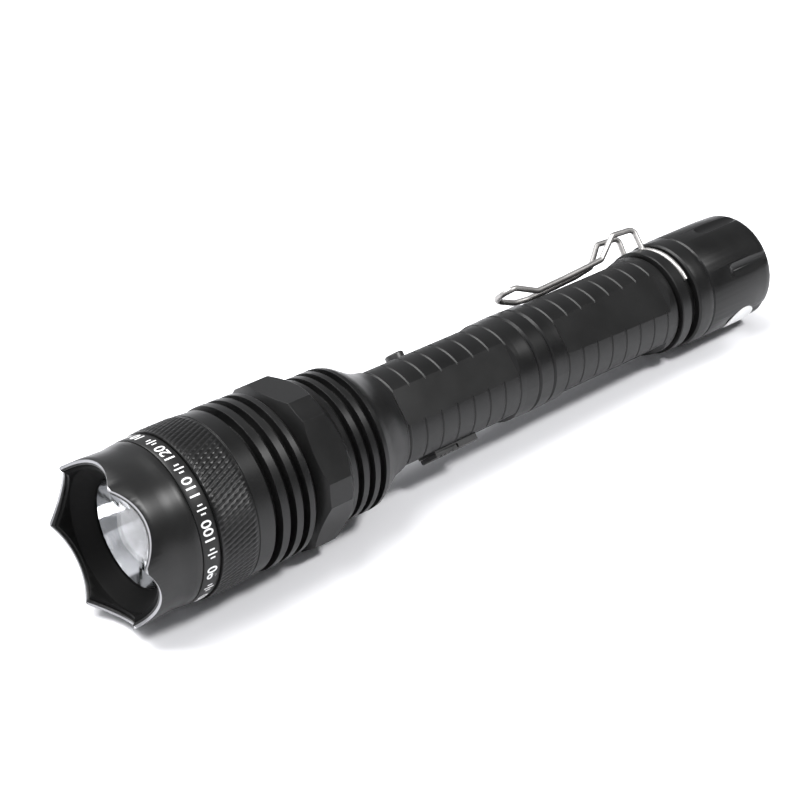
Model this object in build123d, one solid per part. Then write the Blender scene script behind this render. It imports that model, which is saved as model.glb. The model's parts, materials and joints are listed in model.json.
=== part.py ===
from build123d import *
import math
import os

# Tactical flashlight lying on its side.  Millimetres, +Z up, +X from the tail to the crown,
# origin at the centre of the flat tail face.  Lengths along the lamp are given as stations:
# a station is the distance back from the crown tips, so x = LENGTH - station.

LENGTH = 203.0            # crown tips to tail face
CONTROL_ANGLE = -41.4     # button flat, measured about the axis from up toward +Y
CROWN_ANGLE = 19.8        # first crown tip
HEX_ANGLE = -5.3          # first wide flat of the hexagon
FLUTE_ANGLE = 59.5        # first grip flute of the tail cap
LABEL_ANGLE = 125.5       # round label on the tail cap

# running clearances
THREAD_GAP = 0.06
SLIDE_GAP = 0.08
SEAT_GAP = 0.02

# head
TIP_RADIUS = 18.6
SCALLOP_DEPTH = 3.4
SCALLOP_RADIUS = 13.6
BEZEL_END = 13.8
BAND_END = 18.2
KNURL_END = 28.3
KNURL_RADIUS = 19.4
FIN_RADIUS = 19.3
FIN_ROOT = 16.8
HEX_VERTEX = 19.8
HEX_FLAT = 18.4
HEX_FRONT = 45.4
HEX_REAR = 55.4
REAR_FIN_RADIUS = 17.3
REAR_FIN_ROOT = 15.4
HEAD_END = 76.0

# optics
MOUTH_RADIUS = 12.9
LENS_RADIUS = 14.6
LENS_FRONT = 9.0
LENS_REAR = 10.3
REFLECTOR_END = 31.0
REFLECTOR_FOCUS = 2.45

# barrel
TUBE_RADIUS = 12.4
FLAT_DISTANCE = 11.57
RING_GROOVES = 8
RING_DEPTH = 0.22
RING_HALF_WIDTH = 0.3
FRONT_GROOVE = 77.0
FRONT_PITCH = 5.0
REAR_GROOVE = 128.4
REAR_PITCH = 5.0
JOINT_STATION = 123.4
TUBE_END = 171.7
CELL_BORE = 9.7

# controls
BUTTON_STATION = 90.2
BUTTON_RADIUS = 2.35
BUTTON_TOP = 13.2
BUTTON_TRAVEL = 0.8
PLATE_FRONT = 85.9
PLATE_REAR = 98.9
PLATE_WIDTH = 7.2
PLATE_TOP = 12.1
KNOB_TOP = 13.4
KNOB_REAR = 92.6
SLOT_CENTRE = 89.1
SLOT_LENGTH = 5.6
KNOB_TRAVEL = 2.4

# battery
CELL_RADIUS = 9.15
CELL_FRONT = 124.6
CELL_LENGTH = 65.0

# clip
WIRE = 1.5
CLIP_RING_STATION = 173.05
CLIP_RING_RADIUS = 12.78

# tail cap
CAP_FRONT = 174.4
CAP_RADIUS = 14.2
CAP_FLOOR = 199.4


def x_at(station):
    return LENGTH - station


def turned(profile):
    """Solid of revolution about the lamp axis from (station, radius) corners."""
    corners = [(x_at(s), r) for s, r in profile]
    face = make_face(Polyline(*corners, close=True))
    return revolve(Plane.XY * face, Axis.X, 360)


def tube(front, rear, outer, inner):
    return turned([(front, inner), (front, outer), (rear, outer), (rear, inner)])


def disc(front, rear, radius):
    return turned([(front, 0), (front, radius), (rear, radius), (rear, 0)])


def at(station, angle, radius=0.0):
    """Location on the lamp: local X along the axis, local Z pointing outward at the angle."""
    turn = Location((0, 0, 0), (1, 0, 0), -angle)
    return Location((x_at(station), 0, 0)) * turn * Location((0, 0, radius))


def v_ring(station, radius, depth, half_width):
    """Cutter for one turned V groove."""
    return turned([(station - half_width - 0.2, radius + 0.2 * depth / half_width),
                   (station, radius - depth),
                   (station + half_width + 0.2, radius + 0.2 * depth / half_width),
                   (station + half_width + 0.2, radius + 3.0),
                   (station - half_width - 0.2, radius + 3.0)])


def thread(front, rear, root, crest, pitch=1.0):
    """Male thread drawn as rings between a root and a crest radius, down to the axis."""
    points = [(front, 0), (front, root)]
    count = int((rear - front) / pitch)
    for i in range(count):
        s = front + i * pitch
        points.append((s + 0.15 * pitch, root))
        points.append((s + 0.45 * pitch, crest))
        points.append((s + 0.60 * pitch, crest))
        points.append((s + 0.90 * pitch, root))
    points.append((rear, root))
    points.append((rear, 0))
    return turned(points)


def crown_cutters(depth):
    cutters = []
    centre = depth - SCALLOP_RADIUS
    for i in range(6):
        angle = CROWN_ANGLE + 30 + 60 * i
        cutters.append(at(centre, angle, 17.0) * Cylinder(SCALLOP_RADIUS, 14.0))
    return cutters


def flat_cutters(front, rear, angles, distance=FLAT_DISTANCE):
    """Milled flats with short ramps at both ends."""
    height = 4.0
    cutters = []
    for angle in angles:
        profile = make_face(Polyline((x_at(rear), 0), (x_at(front), 0),
                                     (x_at(front) + height, height),
                                     (x_at(rear) - height, height), close=True))
        block = extrude(Plane.XZ * profile, 12.0, both=True)
        turn = Location((0, 0, 0), (1, 0, 0), -angle)
        cutters.append(turn * Location((0, 0, distance)) * block)
    return cutters


def strike_bezel():
    body = turned([(0.0, 17.45), (0.0, 18.35), (0.35, TIP_RADIUS), (4.8, 18.6), (9.5, 18.35),
                   (13.2, 18.75), (BEZEL_END, 18.55), (BEZEL_END, 15.75), (9.0, 15.75), (9.0, 17.45)])
    spigot = thread(BEZEL_END, 23.6, 16.75, 17.05) - disc(BEZEL_END - 1, 24, 15.75)
    body = body + spigot
    body = body - crown_cutters(SCALLOP_DEPTH)
    return body


def bezel_liner():
    """Black inner sleeve of the crown with the inward lip that holds the lens."""
    body = turned([(0.5, 16.6), (0.5, 17.43), (8.98, 17.43), (8.98, MOUTH_RADIUS),
                   (8.4, MOUTH_RADIUS), (4.3, 16.3)])
    return body - crown_cutters(SCALLOP_DEPTH + 0.4)


def front_lens():
    return turned([(LENS_FRONT, 0), (LENS_FRONT, LENS_RADIUS - 0.3), (LENS_FRONT + 0.3, LENS_RADIUS),
                   (LENS_REAR - 0.3, LENS_RADIUS), (LENS_REAR, LENS_RADIUS - 0.3), (LENS_REAR, 0)])


def lens_seal():
    """O-ring round the edge of the lens, in the bezel bore."""
    centre = Location((x_at(9.6), 0, 0), (0, 90, 0))
    return centre * Torus(15.17, 0.5)


def reflector_curve(depth):
    return math.sqrt(4 * REFLECTOR_FOCUS * depth)


def reflector():
    mouth = LENS_REAR + 0.05
    inner = []
    for i in range(13):
        s = mouth + (REFLECTOR_END - 1.4 - mouth) * i / 12
        inner.append((s, reflector_curve(REFLECTOR_END - s)))
    outer = [(REFLECTOR_END - 1.4, 6.0), (REFLECTOR_END - 6.0, 9.6), (19.0, 12.4), (12.4, 15.0), (12.4, 15.6),
             (mouth, 15.6)]
    return turned(inner + outer)


def led_ring():
    """White insulating ring that centres the reflector on the light source."""
    return tube(29.7, 31.55, 3.75, 2.75)


def led_board():
    board = disc(31.6, 33.2, 9.9)
    notches = []
    for i in range(6):
        notches.append(at(32.4, 60 * i, 9.9) * Box(3.0, 3.0, 2.4))
    return board - notches


def led_chip():
    base = at(31.25, 0) * Box(0.7, 3.4, 3.4)
    dome = Location((x_at(30.9), 0, 0)) * Sphere(1.45)
    dome = dome & disc(28.0, 30.9, 3.0)
    return base + dome


def heat_sink():
    """Aluminium pill under the light source, pressed in the head."""
    body = turned([(33.2, 0), (33.2, 15.0), (41.2, 15.0), (41.2, 12.4), (36.4, 12.4), (36.4, 0)])
    wire_hole = at(34.8, 100, 7.5) * Location((0, 0, 0), (0, 90, 0)) * Cylinder(1.1, 6.0)
    return body - wire_hole


def driver_board():
    return disc(39.2, 40.8, 12.3)


def driver_parts():
    """Components standing on the driver board, all soldered parts in one group."""
    coil = Location((x_at(37.6), 3.6, 3.2), (0, 90, 0)) * Cylinder(2.6, 2.4)
    chip = Location((x_at(38.3), -4.0, 2.6)) * Box(1.4, 4.9, 3.9)
    capacitor = Location((x_at(38.1), 3.0, -5.2)) * Box(1.8, 3.2, 1.6)
    resistor = Location((x_at(38.5), -4.2, -4.6)) * Box(1.0, 3.2, 1.6)
    diode = Location((x_at(38.2), -0.6, -8.4)) * Box(1.6, 4.0, 2.2)
    return Compound(children=[coil, chip, capacitor,
                              resistor, diode])


def index_band():
    """Graduated ring between the bezel and the knurled grip."""
    return turned([(BEZEL_END + 0.05, 17.25), (BEZEL_END + 0.05, 18.7), (14.2, 18.85), (17.8, 18.85),
                   (BAND_END - 0.05, 18.75), (BAND_END - 0.05, 17.25)])


def hexagon():
    """Hexagonal prism with six wide flats and narrow facets across its corners."""
    half = math.degrees(math.acos(HEX_FLAT / HEX_VERTEX))
    corners = []
    for i in range(6):
        for side in (-half, half):
            a = math.radians(HEX_ANGLE + 60 * i + side)
            corners.append((HEX_VERTEX * math.sin(a), HEX_VERTEX * math.cos(a)))
    face = Plane.YZ * make_face(Polyline(*corners, close=True))
    prism = extrude(face, HEX_REAR - HEX_FRONT + 6)
    return Location((x_at(HEX_REAR + 3), 0, 0)) * prism


def head_shell():
    front = turned([(BAND_END, 0), (BAND_END, KNURL_RADIUS - 0.15), (BAND_END + 0.15, KNURL_RADIUS),
                    (KNURL_END - 0.15, KNURL_RADIUS), (KNURL_END, 19.25), (32.5, 18.95), (32.5, FIN_ROOT),
                    (34.3, FIN_ROOT), (34.3, FIN_RADIUS), (36.3, FIN_RADIUS), (36.3, FIN_ROOT),
                    (38.2, FIN_ROOT), (38.2, FIN_RADIUS - 0.1), (40.0, FIN_RADIUS - 0.1), (40.0, FIN_ROOT),
                    (41.9, FIN_ROOT), (41.9, FIN_RADIUS - 0.2), (43.3, FIN_RADIUS - 0.2), (44.0, 18.5),
                    (HEX_FRONT, 16.2), (47.0, 16.2), (47.0, 0)])
    middle = turned([(HEX_FRONT, 0), (HEX_FRONT, 16.2), (47.4, 20.0), (53.0, 20.0), (HEX_REAR, 17.7),
                     (56.9, 17.5), (56.9, 0)])
    middle = middle & (hexagon() + disc(HEX_FRONT, 57.0, 17.7))
    rear = turned([(56.0, 0), (56.0, 17.0), (56.9, 17.5), (56.9, REAR_FIN_ROOT), (58.7, REAR_FIN_ROOT),
                   (58.7, REAR_FIN_RADIUS), (60.3, REAR_FIN_RADIUS), (60.3, REAR_FIN_ROOT),
                   (62.0, REAR_FIN_ROOT), (62.0, REAR_FIN_RADIUS), (63.5, REAR_FIN_RADIUS),
                   (63.5, REAR_FIN_ROOT), (65.2, REAR_FIN_ROOT), (65.2, 17.3), (66.3, 17.2),
                   (67.4, 16.75), (68.5, 16.05), (69.7, 15.3), (71.0, 14.55), (72.3, 13.85),
                   (73.6, 13.25), (74.8, 12.85), (HEAD_END, 12.65), (HEAD_END, 0)])
    body = front + middle + rear
    bores = [disc(BAND_END - 1, 24.4, 17.05 + THREAD_GAP),
             disc(24.0, 41.2, 15.0 + SEAT_GAP),
             disc(41.0, 66.0, 10.6),
             disc(65.0, HEAD_END + 1, 11.45 + THREAD_GAP)]
    return body - bores


def barrel_bore_cut():
    """Pockets for the two controls, through the wall of the front barrel."""
    button_hole = at(BUTTON_STATION, CONTROL_ANGLE, 10.0) * Cylinder(BUTTON_RADIUS + SLIDE_GAP, 8.0)
    slot = at(SLOT_CENTRE, CONTROL_ANGLE + 180, 11.0) * Box(SLOT_LENGTH + 0.2, 2.6, 6.0)
    return [button_hole, slot]


def switch_housing():
    """Front barrel: carries the button and the slide switch."""
    spigot = thread(66.4, HEAD_END + 0.1, 11.1, 11.45)
    body = turned([(HEAD_END + 0.05, 0), (HEAD_END + 0.05, 12.6), (77.6, TUBE_RADIUS), (114.0, TUBE_RADIUS),
                   (117.4, 12.55), (117.85, 12.55), (118.4, 11.95), (118.95, 12.55), (122.85, 12.55),
                   (JOINT_STATION, 11.95), (JOINT_STATION, 0)])
    body = body + spigot
    angles = [CONTROL_ANGLE + 90 * i for i in range(4)]
    body = body - flat_cutters(76.9, 112.0, angles)
    grooves = []
    for i in range(RING_GROOVES):
        grooves.append(v_ring(FRONT_GROOVE + FRONT_PITCH * i, TUBE_RADIUS, RING_DEPTH, RING_HALF_WIDTH))
    body = body - grooves
    body = body - [disc(66.0, 113.2, 9.9), disc(113.0, JOINT_STATION + 1, 11.15 + THREAD_GAP)]
    return body - barrel_bore_cut()


def switch_board():
    """Circuit board across the front barrel, carrying both switches."""
    plate = Location((x_at(92.0), 0, 0)) * Location((0, 0, 0), (1, 0, 0), -CONTROL_ANGLE)
    board = plate * Box(30.0, 17.0, 1.2)
    return board


def tactile_switch():
    body = at(BUTTON_STATION, CONTROL_ANGLE, 0.6 + 2.5) * Box(6.0, 6.0, 5.0)
    stem = at(BUTTON_STATION, CONTROL_ANGLE, 5.6 + 0.45) * Cylinder(1.7, 0.9)
    return body + stem


def push_button():
    """Round button with a wider foot that stays inside the barrel."""
    cap = at(BUTTON_STATION, CONTROL_ANGLE, (BUTTON_TOP + 8.6) / 2) * Cylinder(BUTTON_RADIUS, BUTTON_TOP - 8.6)
    cap = chamfer(cap.edges().filter_by(GeomType.CIRCLE), 0.3)
    foot = at(BUTTON_STATION, CONTROL_ANGLE, 8.05) * Cylinder(3.9, 1.3)
    return cap + foot


def slide_plate():
    """Thin base plate of the slide switch, let into the lower flat."""
    middle = (PLATE_FRONT + PLATE_REAR) / 2
    length = PLATE_REAR - PLATE_FRONT
    height = PLATE_TOP - FLAT_DISTANCE
    plate = at(middle, CONTROL_ANGLE + 180, FLAT_DISTANCE + 0.01 + height / 2) * Box(length, PLATE_WIDTH, height)
    slot = at(SLOT_CENTRE, CONTROL_ANGLE + 180, 12.0) * Box(SLOT_LENGTH, 2.4, 4.0)
    return plate - slot


def slide_stop():
    """Raised block at the rear end of the slide plate."""
    front = KNOB_REAR + 0.3
    middle = (front + PLATE_REAR) / 2
    block = Box(PLATE_REAR - front, PLATE_WIDTH, KNOB_TOP - PLATE_TOP - 0.02)
    block = chamfer(block.edges().group_by(Axis.Z)[-1], 0.25)
    return at(middle, CONTROL_ANGLE + 180, (KNOB_TOP + PLATE_TOP) / 2) * block


def slide_knob():
    """Sliding cap with a ribbed thumb pad and a stem that reaches the switch inside."""
    front = PLATE_FRONT + 0.1
    rear = KNOB_REAR
    under = PLATE_TOP + SLIDE_GAP
    pad = Box(rear - front, PLATE_WIDTH - 0.4, KNOB_TOP - under)
    pad = chamfer(pad.edges().group_by(Axis.Z)[-1], 0.25)
    pad = at((front + rear) / 2, CONTROL_ANGLE + 180, (KNOB_TOP + under) / 2) * pad
    stem = at(SLOT_CENTRE + 1.3, CONTROL_ANGLE + 180, (under + 6.2) / 2) * Box(2.4, 1.9, under - 6.0 + 0.2)
    ribs = []
    for i in range(4):
        ribs.append(at(front + 1.3 + 1.3 * i, CONTROL_ANGLE + 180, KNOB_TOP) * Box(0.5, PLATE_WIDTH, 0.5))
    return pad + stem - ribs


def slide_switch():
    """Body of the slide switch on the circuit board."""
    body = at(SLOT_CENTRE + 0.4, CONTROL_ANGLE + 180, 0.6 + 2.5) * Box(12.0, 6.4, 5.0)
    groove = at(SLOT_CENTRE, CONTROL_ANGLE + 180, 5.4) * Box(7.0, 2.6, 1.2)
    return body - groove


def slide_lever():
    """Lever of the slide switch, carried along by the knob's stem."""
    return at(SLOT_CENTRE + 1.3, CONTROL_ANGLE + 180, 5.4) * Box(2.0, 1.6, 1.1)


def barrel_seal():
    centre = Location((x_at(122.2), 0, 0), (0, 90, 0))
    return centre * Torus(10.75, 0.45)


def battery_tube():
    """Rear barrel with the clip groove and threaded ends."""
    body = turned([(JOINT_STATION + 0.05, 0), (JOINT_STATION + 0.05, 11.95), (123.95, TUBE_RADIUS + 0.05),
                   (126.5, TUBE_RADIUS), (166.6, 12.85), (167.3, 12.75), (167.55, 11.9), (168.15, 11.9),
                   (168.3, 13.45), (168.6, 13.6), (TUBE_END - 0.2, 13.6), (TUBE_END, 13.4),
                   (TUBE_END, 11.9), (CAP_FRONT - 0.05, 11.9), (CAP_FRONT - 0.05, 0)])
    angles = [CONTROL_ANGLE + 90 * i for i in range(4)]
    body = body - flat_cutters(128.6, 164.4, angles, FLAT_DISTANCE + 0.05)
    grooves = []
    for i in range(RING_GROOVES):
        s = REAR_GROOVE + REAR_PITCH * i
        grooves.append(v_ring(s, TUBE_RADIUS + 0.0112 * (s - 126.5), RING_DEPTH, RING_HALF_WIDTH))
    body = body - grooves
    body = body + thread(113.4, 121.4, 10.85, 11.15) + disc(121.3, 123.5, 10.3)
    body = body + thread(CAP_FRONT - 0.06, 186.4, 11.55, 11.9)
    return body - [disc(113.0, 187.0, CELL_BORE)]


def contact_disc():
    """Front battery contact carrier inside the joint of the two barrels."""
    carrier = disc(113.6, 115.6, CELL_BORE - 0.05)
    return carrier


def contact_spring():
    coil = Helix(1.9, 7.2, 3.0, cone_angle=8)
    return spring_solid(coil, 0.35, 123.75)


def spring_solid(path, wire_radius, station):
    profile = Plane(path @ 0, z_dir=path % 0) * Circle(wire_radius)
    spring = sweep(profile, path=path)
    turn = Location((x_at(station), 0, 0), (0, 90, 0))
    return turn * spring


def battery_cell():
    """Cylindrical cell: steel can with its positive cap."""
    rear = CELL_FRONT + CELL_LENGTH
    can = turned([(CELL_FRONT, 0), (CELL_FRONT, 3.4), (CELL_FRONT + 1.3, 3.7), (CELL_FRONT + 1.3, 5.4),
                  (CELL_FRONT + 0.7, 6.6), (CELL_FRONT + 0.7, 8.4), (CELL_FRONT + 1.2, CELL_RADIUS - 0.12),
                  (CELL_FRONT + 3.2, CELL_RADIUS - 0.12), (CELL_FRONT + 3.6, CELL_RADIUS - 0.5),
                  (CELL_FRONT + 4.2, CELL_RADIUS - 0.5), (CELL_FRONT + 4.6, CELL_RADIUS - 0.12),
                  (rear - 0.6, CELL_RADIUS - 0.12), (rear, CELL_RADIUS - 0.7), (rear, 0)])
    return can


def cell_sleeve():
    """Shrink sleeve round the cell."""
    rear = CELL_FRONT + CELL_LENGTH
    return tube(CELL_FRONT + 4.9, rear - 0.8, CELL_RADIUS, CELL_RADIUS - 0.11)


def clip_point(station, radius, sideways):
    """Point of the clip wire: radius above the axis at the clip's side, sideways across it."""
    a = math.radians(CONTROL_ANGLE)
    y = radius * math.sin(a) + sideways * math.cos(a)
    z = radius * math.cos(a) - sideways * math.sin(a)
    return Vector(x_at(station), y, z)


def rounded_path(points, radii):
    """Straight runs joined by arcs of the given bend radii."""
    edges = []
    start = points[0]
    for i in range(1, len(points) - 1):
        corner = points[i]
        u = (corner - start).normalized()
        v = (points[i + 1] - corner).normalized()
        bend = math.acos(max(-1.0, min(1.0, u.dot(v))))
        if bend < 0.01:
            continue
        reach = radii[i] * math.tan(bend / 2)
        first = corner - u * reach
        last = corner + v * reach
        inward = (v - u).normalized()
        middle = corner + inward * (radii[i] / math.cos(bend / 2) - radii[i])
        edges.append(Line(start, first))
        edges.append(ThreePointArc(first, middle, last))
        start = last
    edges.append(Line(start, points[-1]))
    return edges


def ring_arc(first_angle, last_angle):
    """Chords of the C-shaped ring, in the clip groove."""
    pts = []
    count = 9
    for i in range(count):
        offset = math.radians(first_angle + (last_angle - first_angle) * i / (count - 1))
        r = CLIP_RING_RADIUS
        pts.append(clip_point(CLIP_RING_STATION, r * math.cos(offset), r * math.sin(offset)))
    return pts


def wire_clip():
    """Pocket clip bent from one length of round spring wire."""
    foot = 16.5
    wide = 3.3
    narrow = 2.4
    near_ring = ring_arc(88.0, foot)
    near = [(173.6, 18.45, wide, 1.5), (166.1, 18.95, wide, 1.4), (159.9, 14.4, narrow, 1.5),
            (153.5, 14.05, narrow, 6.0), (145.5, 13.7, narrow, 8.0), (136.3, 13.4, 2.6, 3.0),
            (130.0, 16.1, 3.1, 3.0), (126.9, 16.1, 3.1, 2.4)]
    far = [(126.9, 15.8, 3.1, 2.4), (132.6, 13.4, 3.1, 3.0), (136.3, 12.95, 2.6, 3.0),
           (145.5, 13.1, narrow, 8.0), (153.5, 13.4, narrow, 6.0), (159.9, 14.2, narrow, 1.5),
           (166.1, 18.95, wide, 1.4), (173.6, 18.45, wide, 1.5)]
    far_ring = ring_arc(-foot, -88.0)
    bent = [clip_point(s, r, side) for s, r, side, _ in near]
    bent += [clip_point(s, r, -side) for s, r, side, _ in far]
    bends = [b for _, _, _, b in near + far]
    ring_radii = [4.0] * (len(near_ring) - 1)
    points = near_ring + bent + far_ring
    radii = ring_radii + [1.1] + bends + [1.1] + ring_radii
    path = Wire(rounded_path(points, radii))
    profile_plane = Plane(path @ 0, z_dir=path % 0)
    return sweep(profile_plane * Circle(WIRE / 2), path=path, transition=Transition.ROUND)


def tail_cap():
    body = turned([(CAP_FRONT, 0), (CAP_FRONT, 13.5), (CAP_FRONT + 0.5, 14.0), (179.2, CAP_RADIUS),
                   (179.6, 13.75), (180.0, CAP_RADIUS), (196.0, CAP_RADIUS), (201.4, 13.95),
                   (202.4, 13.55), (LENGTH - 0.1, 12.7), (LENGTH, 12.3), (LENGTH, 0)])
    cutter_radius = 3.3
    depth = 0.75
    flutes = []
    for i in range(6):
        angle = FLUTE_ANGLE + 60 * i
        centre = CAP_RADIUS - depth + cutter_radius
        bar = Location((0, 0, 0), (0, 90, 0)) * Cylinder(cutter_radius, 20.0)
        flutes.append(at(189.4 + 10.0, angle, centre) * bar)
        flutes.append(at(189.4, angle, centre) * Sphere(cutter_radius))
    body = body - flutes
    body = body - [disc(CAP_FRONT - 1, 187.2, 11.9 + THREAD_GAP), disc(187.0, CAP_FLOOR, 10.4)]
    return body


def tail_seal():
    centre = Location((x_at(186.82), 0, 0), (0, 90, 0))
    return centre * Torus(11.2, 0.36)


def tail_contact():
    """Round contact plate at the bottom of the tail cap."""
    plate = turned([(198.2, 0), (198.2, 9.6), (199.2, 9.6), (199.2, 0)])
    return plate


def tail_spring():
    coil = Helix(2.0, 7.6, 5.6, cone_angle=-10)
    return spring_solid(coil, 0.42, 197.72)


def tail_label():
    """Blank round label wrapped on the tail cap."""
    shell = tube(188.0, 198.0, CAP_RADIUS + 0.14, CAP_RADIUS + 0.01)
    cookie = at(193.0, LABEL_ANGLE, 14.0) * Cylinder(4.6, 6.0)
    return shell & cookie


PIECES = {
    "strike_bezel": strike_bezel,
    "bezel_liner": bezel_liner,
    "front_lens": front_lens,
    "lens_seal": lens_seal,
    "reflector": reflector,
    "led_ring": led_ring,
    "led_chip": led_chip,
    "led_board": led_board,
    "heat_sink": heat_sink,
    "driver_board": driver_board,
    "driver_parts": driver_parts,
    "index_band": index_band,
    "head_shell": head_shell,
    "switch_housing": switch_housing,
    "switch_board": switch_board,
    "tactile_switch": tactile_switch,
    "push_button": push_button,
    "slide_plate": slide_plate,
    "slide_stop": slide_stop,
    "slide_knob": slide_knob,
    "slide_switch": slide_switch,
    "slide_lever": slide_lever,
    "barrel_seal": barrel_seal,
    "battery_tube": battery_tube,
    "contact_disc": contact_disc,
    "contact_spring": contact_spring,
    "battery_cell": battery_cell,
    "cell_sleeve": cell_sleeve,
    "wire_clip": wire_clip,
    "tail_cap": tail_cap,
    "tail_seal": tail_seal,
    "tail_contact": tail_contact,
    "tail_spring": tail_spring,
    "tail_label": tail_label,
}

os.makedirs("parts", exist_ok=True)
for name, make in PIECES.items():
    export_step(make(), "parts/" + name + ".step")
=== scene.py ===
import bpy
import bmesh
import json
import math
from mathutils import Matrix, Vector


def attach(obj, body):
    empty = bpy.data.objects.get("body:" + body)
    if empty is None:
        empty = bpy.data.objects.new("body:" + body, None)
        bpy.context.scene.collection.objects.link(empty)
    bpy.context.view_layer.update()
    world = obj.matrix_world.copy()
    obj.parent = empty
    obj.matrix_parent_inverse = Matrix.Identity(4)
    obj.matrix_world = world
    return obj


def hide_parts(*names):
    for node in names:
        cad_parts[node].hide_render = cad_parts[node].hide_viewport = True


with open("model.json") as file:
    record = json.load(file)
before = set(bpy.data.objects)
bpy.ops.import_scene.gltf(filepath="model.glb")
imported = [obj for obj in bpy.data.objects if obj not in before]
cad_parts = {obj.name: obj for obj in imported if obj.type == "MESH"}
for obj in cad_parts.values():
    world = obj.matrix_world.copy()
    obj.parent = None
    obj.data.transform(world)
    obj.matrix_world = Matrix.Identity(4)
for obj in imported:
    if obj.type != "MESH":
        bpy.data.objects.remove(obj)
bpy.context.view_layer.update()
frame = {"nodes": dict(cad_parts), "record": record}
NODES = frame["nodes"]

# Metres.  A station is the distance back from the crown tips; x = LENGTH - station.
LENGTH = 0.203
MM = 0.001


def x_at(station):
    """Place along the lamp, in metres, of a station in millimetres."""
    return LENGTH - station * MM


def around(station, radius, angle):
    """Point at a station and radius in millimetres, the angle measured from up toward +Y."""
    a = math.radians(angle)
    return Vector((x_at(station), radius * MM * math.sin(a), radius * MM * math.cos(a)))


# ---------------------------------------------------------------- materials

def new_material(name):
    m = bpy.data.materials.new(name)
    m.use_nodes = True
    nodes = m.node_tree.nodes
    shader = nodes["Principled BSDF"]
    return m, nodes, m.node_tree.links, shader


def coordinates(nodes, links, scale=(1, 1, 1)):
    tex = nodes.new("ShaderNodeTexCoord")
    mapping = nodes.new("ShaderNodeMapping")
    mapping.inputs["Scale"].default_value = scale
    links.new(tex.outputs["Object"], mapping.inputs["Vector"])
    return mapping.outputs["Vector"]


def noise(nodes, links, vector, scale, detail=4.0, rough=0.55):
    n = nodes.new("ShaderNodeTexNoise")
    n.inputs["Scale"].default_value = scale
    n.inputs["Detail"].default_value = detail
    n.inputs["Roughness"].default_value = rough
    links.new(vector, n.inputs["Vector"])
    return n.outputs["Fac"]


def ramp(nodes, links, value, stops):
    r = nodes.new("ShaderNodeValToRGB")
    links.new(value, r.inputs["Fac"])
    elements = r.color_ramp.elements
    while len(elements) > 1:
        elements.remove(elements[-1])
    elements[0].position = stops[0][0]
    elements[0].color = (*stops[0][1], 1)
    for position, colour in stops[1:]:
        elements.new(position).color = (*colour, 1)
    return r.outputs["Color"]


def grey(v):
    return (v, v, v)


def bump(nodes, links, height, strength, distance, normal=None):
    b = nodes.new("ShaderNodeBump")
    b.inputs["Strength"].default_value = strength
    b.inputs["Distance"].default_value = distance
    links.new(height, b.inputs["Height"])
    if normal is not None:
        links.new(normal, b.inputs["Normal"])
    return b.outputs["Normal"]


def anodised_nodes(name, base, rough, specular=0.26):
    """Black anodised aluminium: satin, faintly uneven, with fine turning marks across the axis."""
    m, nodes, links, bsdf = new_material(name)
    v = coordinates(nodes, links)
    cloud = noise(nodes, links, v, 70.0, 5.0)
    colour = ramp(nodes, links, cloud, [(0.3, grey(base * 0.8)), (0.7, grey(base * 1.25))])
    roughness = ramp(nodes, links, cloud, [(0.25, grey(rough - 0.05)), (0.75, grey(rough + 0.07))])
    lines = noise(nodes, links, coordinates(nodes, links, (1.0, 0.02, 0.02)), 7000.0, 2.0)
    grain = noise(nodes, links, v, 14000.0, 2.0)
    turned = bump(nodes, links, lines, 0.05, 0.00002)
    links.new(bump(nodes, links, grain, 0.08, 0.00002, turned), bsdf.inputs["Normal"])
    links.new(roughness, bsdf.inputs["Roughness"])
    bsdf.inputs["Specular IOR Level"].default_value = specular
    return m, nodes, links, bsdf, colour


def anodised(name, base=0.006, rough=0.35, specular=0.26):
    m, nodes, links, bsdf, colour = anodised_nodes(name, base, rough, specular)
    links.new(colour, bsdf.inputs["Base Color"])
    return m


def math_node(nodes, links, operation, a, b):
    n = nodes.new("ShaderNodeMath")
    n.operation = operation
    for socket, value in zip(n.inputs, (a, b)):
        if isinstance(value, (int, float)):
            socket.default_value = value
        else:
            links.new(value, socket)
    return n.outputs["Value"]


CROWN_DEPTH = 4.6 * MM         # how far back from the tips the bare edge can reach
CROWN_EDGE_RADIUS = 17.95 * MM  # the bare metal is the outer rim only
FACING_LIMIT = 0.55            # how squarely a face must point forward to be bare


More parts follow.
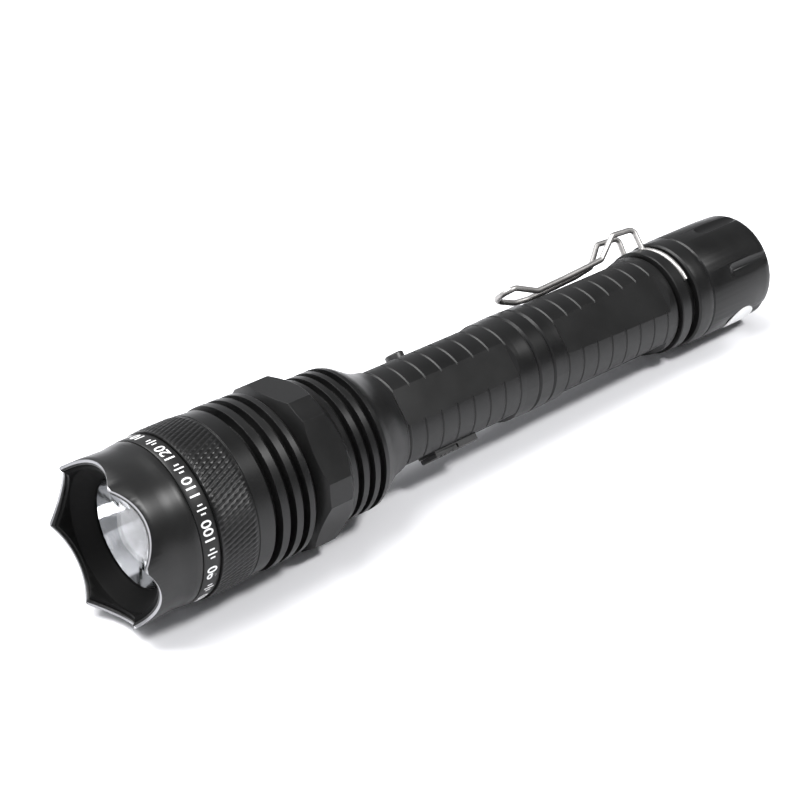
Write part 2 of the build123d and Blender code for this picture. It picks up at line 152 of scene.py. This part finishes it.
def crown_metal(name, base=0.009, rough=0.33):
    """Anodised ring whose front edge was faced off afterwards and shows bare metal."""
    m, nodes, links, bsdf, colour = anodised_nodes(name, base, rough)
    tex = nodes.new("ShaderNodeTexCoord")
    place = nodes.new("ShaderNodeSeparateXYZ")
    links.new(tex.outputs["Object"], place.inputs["Vector"])
    facing = nodes.new("ShaderNodeSeparateXYZ")
    links.new(tex.outputs["Normal"], facing.inputs["Vector"])
    scratches = noise(nodes, links, coordinates(nodes, links), 900.0, 3.0)
    wear = math_node(nodes, links, "MULTIPLY", scratches, 0.3)
    edge = math_node(nodes, links, "ADD", facing.outputs["X"], wear)
    front = math_node(nodes, links, "GREATER_THAN", edge, FACING_LIMIT)
    near = math_node(nodes, links, "GREATER_THAN", place.outputs["X"], LENGTH - CROWN_DEPTH)
    across = math_node(nodes, links, "POWER", place.outputs["Y"], 2.0)
    height = math_node(nodes, links, "POWER", place.outputs["Z"], 2.0)
    radius = math_node(nodes, links, "SQRT", math_node(nodes, links, "ADD", across, height), 0.0)
    outer = math_node(nodes, links, "GREATER_THAN", radius, CROWN_EDGE_RADIUS)
    bare = math_node(nodes, links, "MULTIPLY", math_node(nodes, links, "MULTIPLY", front, near), outer)
    mix = nodes.new("ShaderNodeMix")
    mix.data_type = "RGBA"
    links.new(bare, mix.inputs["Factor"])
    links.new(colour, mix.inputs["A"])
    mix.inputs["B"].default_value = (0.30, 0.30, 0.31, 1)
    links.new(mix.outputs["Result"], bsdf.inputs["Base Color"])
    links.new(bare, bsdf.inputs["Metallic"])
    return m


def plastic(name, colour, rough=0.45, grain_scale=6000.0, strength=0.15):
    m, nodes, links, bsdf = new_material(name)
    v = coordinates(nodes, links)
    cloud = noise(nodes, links, v, 120.0, 3.0)
    dark = tuple(c * 0.82 for c in colour)
    links.new(ramp(nodes, links, cloud, [(0.35, dark), (0.65, colour)]), bsdf.inputs["Base Color"])
    links.new(ramp(nodes, links, cloud, [(0.3, grey(rough - 0.04)), (0.7, grey(rough + 0.05))]),
              bsdf.inputs["Roughness"])
    grain = noise(nodes, links, v, grain_scale, 2.0)
    links.new(bump(nodes, links, grain, strength, 0.00003), bsdf.inputs["Normal"])
    return m


def metal(name, colour, rough=0.25, streak=(1.0, 1.0, 1.0), streak_scale=3000.0, strength=0.08):
    m, nodes, links, bsdf = new_material(name)
    v = coordinates(nodes, links)
    cloud = noise(nodes, links, v, 160.0, 4.0)
    dark = tuple(c * 0.86 for c in colour)
    links.new(ramp(nodes, links, cloud, [(0.3, dark), (0.7, colour)]), bsdf.inputs["Base Color"])
    links.new(ramp(nodes, links, cloud, [(0.3, grey(max(rough - 0.06, 0.02))), (0.7, grey(rough + 0.06))]),
              bsdf.inputs["Roughness"])
    marks = noise(nodes, links, coordinates(nodes, links, streak), streak_scale, 2.0)
    links.new(bump(nodes, links, marks, strength, 0.00002), bsdf.inputs["Normal"])
    bsdf.inputs["Metallic"].default_value = 1.0
    return m


def glass(name):
    m, nodes, links, bsdf = new_material(name)
    v = coordinates(nodes, links)
    cloud = noise(nodes, links, v, 40.0, 2.0)
    links.new(ramp(nodes, links, cloud, [(0.3, (0.97, 0.985, 0.99)), (0.7, (0.99, 0.99, 1.0))]),
              bsdf.inputs["Base Color"])
    links.new(ramp(nodes, links, cloud, [(0.3, grey(0.0)), (0.7, grey(0.02))]), bsdf.inputs["Roughness"])
    bsdf.inputs["Transmission Weight"].default_value = 1.0
    bsdf.inputs["IOR"].default_value = 1.46
    return m


MATERIALS = {
    "anodised": anodised("anodised"),
    "crown": crown_metal("crown"),
    "liner_black": anodised("liner_black", 0.002, 0.6, 0.08),
    "lens_glass": glass("lens_glass"),
    "seal_rubber": plastic("seal_rubber", grey(0.02), 0.6),
    "reflector_mirror": metal("reflector_mirror", (0.93, 0.93, 0.94), 0.08, strength=0.01),
    "white_plastic": plastic("white_plastic", grey(0.8)),
    "led_yellow": plastic("led_yellow", (0.85, 0.72, 0.22), 0.15),
    "board_white": plastic("board_white", grey(0.75), 0.35),
    "bare_aluminium": metal("bare_aluminium", grey(0.72), 0.3, (1.0, 0.02, 0.02), 6000.0),
    "board_green": plastic("board_green", (0.02, 0.16, 0.07), 0.3),
    "component_black": plastic("component_black", grey(0.02), 0.4),
    "band_black": anodised("band_black", 0.010, 0.4),
    "button_black": plastic("button_black", grey(0.018), 0.4),
    "switch_black": plastic("switch_black", grey(0.02), 0.42),
    "spring_brass": metal("spring_brass", (0.8, 0.68, 0.42), 0.2),
    "cell_steel": metal("cell_steel", grey(0.6), 0.3),
    "sleeve_blue": plastic("sleeve_blue", (0.03, 0.12, 0.4), 0.25),
    "clip_steel": metal("clip_steel", (0.42, 0.41, 0.40), 0.46, (0.05, 1.0, 1.0), 5000.0, 0.12),
    "contact_brass": metal("contact_brass", (0.8, 0.68, 0.42), 0.25),
    "label_white": plastic("label_white", grey(0.82), 0.5),
    "mark_white": plastic("mark_white", grey(0.85), 0.5),
}

slot_of = {s["node"]: s["material_slot"] for s in frame["record"]["subparts"]}
for name, obj in NODES.items():
    material = MATERIALS["crown" if name == "strike_bezel" else slot_of[name]]
    if len(obj.material_slots) == 0:
        obj.data.materials.append(material)
    for material_slot in obj.material_slots:
        material_slot.material = material


# ---------------------------------------------------------------- edges

def finish_edges(obj, width, segments=2, angle=28):
    """Small machined rounding on the sharp edges."""
    weld = obj.modifiers.new("weld", "WELD")
    weld.merge_threshold = 1e-6
    bevel = obj.modifiers.new("bevel", "BEVEL")
    bevel.width = width
    bevel.segments = segments
    bevel.limit_method = "ANGLE"
    bevel.angle_limit = math.radians(angle)
    bevel.harden_normals = True


EDGE_WIDTHS = {
    "strike_bezel": 0.10,
    "bezel_liner": 0.08,
    "index_band": 0.06,
    "tail_cap": 0.12,
    "push_button": 0.10,
    "slide_knob": 0.08,
}
for name, width in EDGE_WIDTHS.items():
    finish_edges(NODES[name], width * MM)


# ---------------------------------------------------------------- knurled grip

KNURL_FRONT = 18.45
KNURL_REAR = 28.0
KNURL_CREST = 19.385
KNURL_DEPTH = 0.24
KNURL_SEAT = 19.02
KNURL_STARTS = 96
KNURL_HELIX = 22.0
KNURL_STEPS_PER_START = 10
KNURL_STEPS_ALONG = 84
GRIP_RADIUS = 19.3       # anything wider than this, between the two ends, is the plain grip
FACET_ANGLE = 13         # edges sharper than this, in degrees, stay crisp on the head
HEAD_EDGE = 0.07


def link_piece(name, mesh, body, material, smooth=True):
    obj = bpy.data.objects.new(name, mesh)
    bpy.context.collection.objects.link(obj)
    for polygon in mesh.polygons:
        polygon.use_smooth = smooth
    mesh.materials.append(MATERIALS[material])
    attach(obj, body)
    return obj


def turned_head():
    """Copy of the head with its grip turned down a little, to take the cut knurl."""
    mesh = NODES["head_shell"].data.copy()
    mesh.name = "head_body"
    for vertex in mesh.vertices:
        radius = math.hypot(vertex.co.y, vertex.co.z)
        station = (LENGTH - vertex.co.x) / MM
        if KNURL_FRONT - 0.2 < station < KNURL_REAR + 0.2 and radius > GRIP_RADIUS * MM:
            shrink = KNURL_SEAT * MM / radius
            vertex.co.y *= shrink
            vertex.co.z *= shrink
    bm = bmesh.new()
    bm.from_mesh(mesh)
    bmesh.ops.remove_doubles(bm, verts=bm.verts, dist=1e-6)
    bm.to_mesh(mesh)
    bm.free()
    if "custom_normal" in mesh.attributes:
        mesh.attributes.remove(mesh.attributes["custom_normal"])
    mesh.materials.clear()
    obj = link_piece("head_body", mesh, "chassis", "anodised")
    mesh.set_sharp_from_angle(angle=math.radians(FACET_ANGLE))
    finish_edges(obj, HEAD_EDGE * MM)
    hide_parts("head_shell")


def ridge(value):
    """Triangle wave, 1 on a crest and 0 in a groove."""
    return abs(2.0 * (value - math.floor(value)) - 1.0)


def knurl_ring():
    """Diamond knurl: two families of helical V grooves, one cut deeper than the other."""
    starts = KNURL_STARTS
    twist = math.tan(math.radians(KNURL_HELIX)) * starts / (2 * math.pi * KNURL_CREST)
    around_count = starts * KNURL_STEPS_PER_START
    along_count = KNURL_STEPS_ALONG
    rows = []
    mesh = bpy.data.meshes.new("knurl")
    bm = bmesh.new()
    for i in range(along_count + 1):
        t = i / along_count
        station = KNURL_FRONT + (KNURL_REAR - KNURL_FRONT) * t
        fade = min(1.0, 9.0 * t, 9.0 * (1 - t))
        row = []
        for k in range(around_count):
            turn = k / around_count
            first = ridge(turn * starts + twist * station)
            second = ridge(turn * starts - twist * station)
            height = min(0.05 + first * 1.2, 0.55 + second * 0.7, 1.0)
            radius = KNURL_CREST - KNURL_DEPTH * (1 - height * fade)
            row.append(bm.verts.new(around(station, radius, 360.0 * turn)))
        rows.append(row)
    for station, row_index in ((KNURL_FRONT, 0), (KNURL_REAR, -1)):
        seat = [bm.verts.new(around(station, KNURL_SEAT - 0.02, 360.0 * k / around_count))
                for k in range(around_count)]
        rows.insert(0 if row_index == 0 else len(rows), seat)
    rows.append(rows[0])
    for front, rear in zip(rows[:-1], rows[1:]):
        for k in range(around_count):
            n = (k + 1) % around_count
            bm.faces.new((front[k], front[n], rear[n], rear[k]))
    bmesh.ops.recalc_face_normals(bm, faces=bm.faces)
    bm.to_mesh(mesh)
    bm.free()
    obj = link_piece("knurl_grip", mesh, "chassis", "anodised")


# ---------------------------------------------------------------- graduation marks

BAND_RADIUS = 18.86
BAND_MIDDLE = 16.0
PRINT_HEIGHT = 0.035
FIGURE_COUNT = 12
FIRST_FIGURE_ANGLE = 12.0
FIGURE_SIZE = 3.5
BAR_WIDTH = 0.32
BAR_OFFSETS = (12.0, 15.0, 18.0)
LONG_BAR = 15.0
LONG_HALF = 1.2
SHORT_HALF = 0.6


def mark(bm, station_a, station_b, angle, width, radius=BAND_RADIUS, height=PRINT_HEIGHT):
    """One raised printed bar on the index band, curved with it."""
    steps = 4
    half = math.degrees(width / radius) / 2
    rings = []
    for k in range(steps + 1):
        a = angle - half + 2 * half * k / steps
        rings.append([bm.verts.new(around(s, r, a)) for s, r in
                      ((station_a, radius - 0.03), (station_a, radius + height),
                       (station_b, radius + height), (station_b, radius - 0.03))])
    for first, second in zip(rings[:-1], rings[1:]):
        for k in range(4):
            n = (k + 1) % 4
            bm.faces.new((first[k], first[n], second[n], second[k]))
    bm.faces.new(rings[0])
    bm.faces.new(rings[-1])


def numeral(bm, text, angle, radius=BAND_RADIUS, height=PRINT_HEIGHT):
    """White figures laid round the band, reading along it."""
    curve = bpy.data.curves.new("figures", "FONT")
    curve.body = text
    curve.size = FIGURE_SIZE
    curve.offset = PRINT_HEIGHT
    curve.align_x = "CENTER"
    curve.align_y = "CENTER"
    curve.extrude = height
    source = bpy.data.objects.new("figures", curve)
    flat = bpy.data.meshes.new_from_object(source)
    start = len(bm.verts)
    bm.from_mesh(flat)
    bm.verts.ensure_lookup_table()
    for vertex in bm.verts[start:]:
        across, up, out = vertex.co
        turn = angle - math.degrees(across / radius)
        vertex.co = around(BAND_MIDDLE - up, radius + out, turn)
    bpy.data.objects.remove(source)
    bpy.data.meshes.remove(flat)


def graduation():
    """Plain dial scale round the band: a figure at every 30 degrees and bars between."""
    mesh = bpy.data.meshes.new("graduation")
    bm = bmesh.new()
    for i in range(FIGURE_COUNT):
        angle = 360.0 * i / FIGURE_COUNT + FIRST_FIGURE_ANGLE
        numeral(bm, str(10 * (FIGURE_COUNT - i)), angle)
        for offset in BAR_OFFSETS:
            half = LONG_HALF if offset == LONG_BAR else SHORT_HALF
            mark(bm, BAND_MIDDLE - half, BAND_MIDDLE + half, angle + offset, BAR_WIDTH)
    bmesh.ops.recalc_face_normals(bm, faces=bm.faces)
    bm.to_mesh(mesh)
    bm.free()
    obj = link_piece("graduation", mesh, "chassis", "mark_white", smooth=False)


turned_head()
knurl_ring()
graduation()


# ---------------------------------------------------------------- studio

def floor_height(x):
    """The lamp rests on the hexagon's lower corner and the tail cap's rim, so its axis is tilted."""
    return -0.0142 - 0.03413 * (x - 0.007)


def add_floor():
    m, nodes, links, bsdf = new_material("paper")
    v = coordinates(nodes, links)
    cloud = noise(nodes, links, v, 3.0, 3.0)
    links.new(ramp(nodes, links, cloud, [(0.3, (0.90, 0.90, 0.92)), (0.7, (0.92, 0.92, 0.94))]),
              bsdf.inputs["Base Color"])
    bsdf.inputs["Roughness"].default_value = 0.7
    bsdf.inputs["Specular IOR Level"].default_value = 0.2
    half = 6.0
    mesh = bpy.data.meshes.new("floor")
    outline = ((-half, -half), (half, -half), (half, half), (-half, half))
    corners = [(x, y, floor_height(x)) for x, y in outline]
    mesh.from_pydata(corners, [], [(0, 1, 2, 3)])
    obj = bpy.data.objects.new("floor", mesh)
    obj.data.materials.append(m)
    bpy.context.collection.objects.link(obj)


def aim(obj, target):
    direction = Vector(target) - obj.location
    obj.rotation_mode = "QUATERNION"
    obj.rotation_quaternion = direction.to_track_quat("-Z", "Y")


def area_light(name, location, target, size, power, colour=(1, 1, 1)):
    data = bpy.data.lights.new(name, "AREA")
    data.shape = "RECTANGLE"
    data.size, data.size_y = size
    data.energy = power
    data.color = colour
    obj = bpy.data.objects.new(name, data)
    obj.location = location
    bpy.context.collection.objects.link(obj)
    aim(obj, target)


def add_lights():
    world = bpy.data.worlds.new("studio")
    world.use_nodes = True
    nodes = world.node_tree.nodes
    links = world.node_tree.links
    background = nodes["Background"]
    direction = nodes.new("ShaderNodeTexCoord")
    side = nodes.new("ShaderNodeVectorMath")
    side.operation = "DOT_PRODUCT"
    side.inputs[1].default_value = (0.7, -0.5, 0.0)
    links.new(direction.outputs["Generated"], side.inputs[0])
    spread = nodes.new("ShaderNodeMapRange")
    spread.inputs["From Min"].default_value = -0.5
    spread.inputs["From Max"].default_value = 0.5
    spread.inputs["To Min"].default_value = 0.12
    spread.inputs["To Max"].default_value = 0.95
    links.new(side.outputs["Value"], spread.inputs["Value"])
    background.inputs["Color"].default_value = (0.96, 0.97, 1.0, 1)
    links.new(spread.outputs["Result"], background.inputs["Strength"])
    bpy.context.scene.world = world
    middle = Vector((0.11, 0.0, 0.0))
    area_light("overhead", middle + Vector((0.35, -0.30, 0.95)), middle, (0.8, 0.8), 20.0)
    area_light("side", Vector((-0.22, 0.55, 0.88)), Vector((0.18, 0.0, 0.0)), (0.20, 0.20), 9.0)


CAMERA_PLACE = (0.38632, 0.30006, 0.23276)
CAMERA_TARGET = (0.11450, -0.00438, 0.0)


def add_camera():
    data = bpy.data.cameras.new("camera")
    data.sensor_width = 36.0
    data.lens = 90.0
    data.clip_start = 0.02
    data.clip_end = 20.0
    obj = bpy.data.objects.new("camera", data)
    obj.location = CAMERA_PLACE
    bpy.context.collection.objects.link(obj)
    aim(obj, CAMERA_TARGET)
    bpy.context.scene.camera = obj


add_floor()
add_lights()
add_camera()
bpy.context.scene.view_settings.view_transform = "Standard"
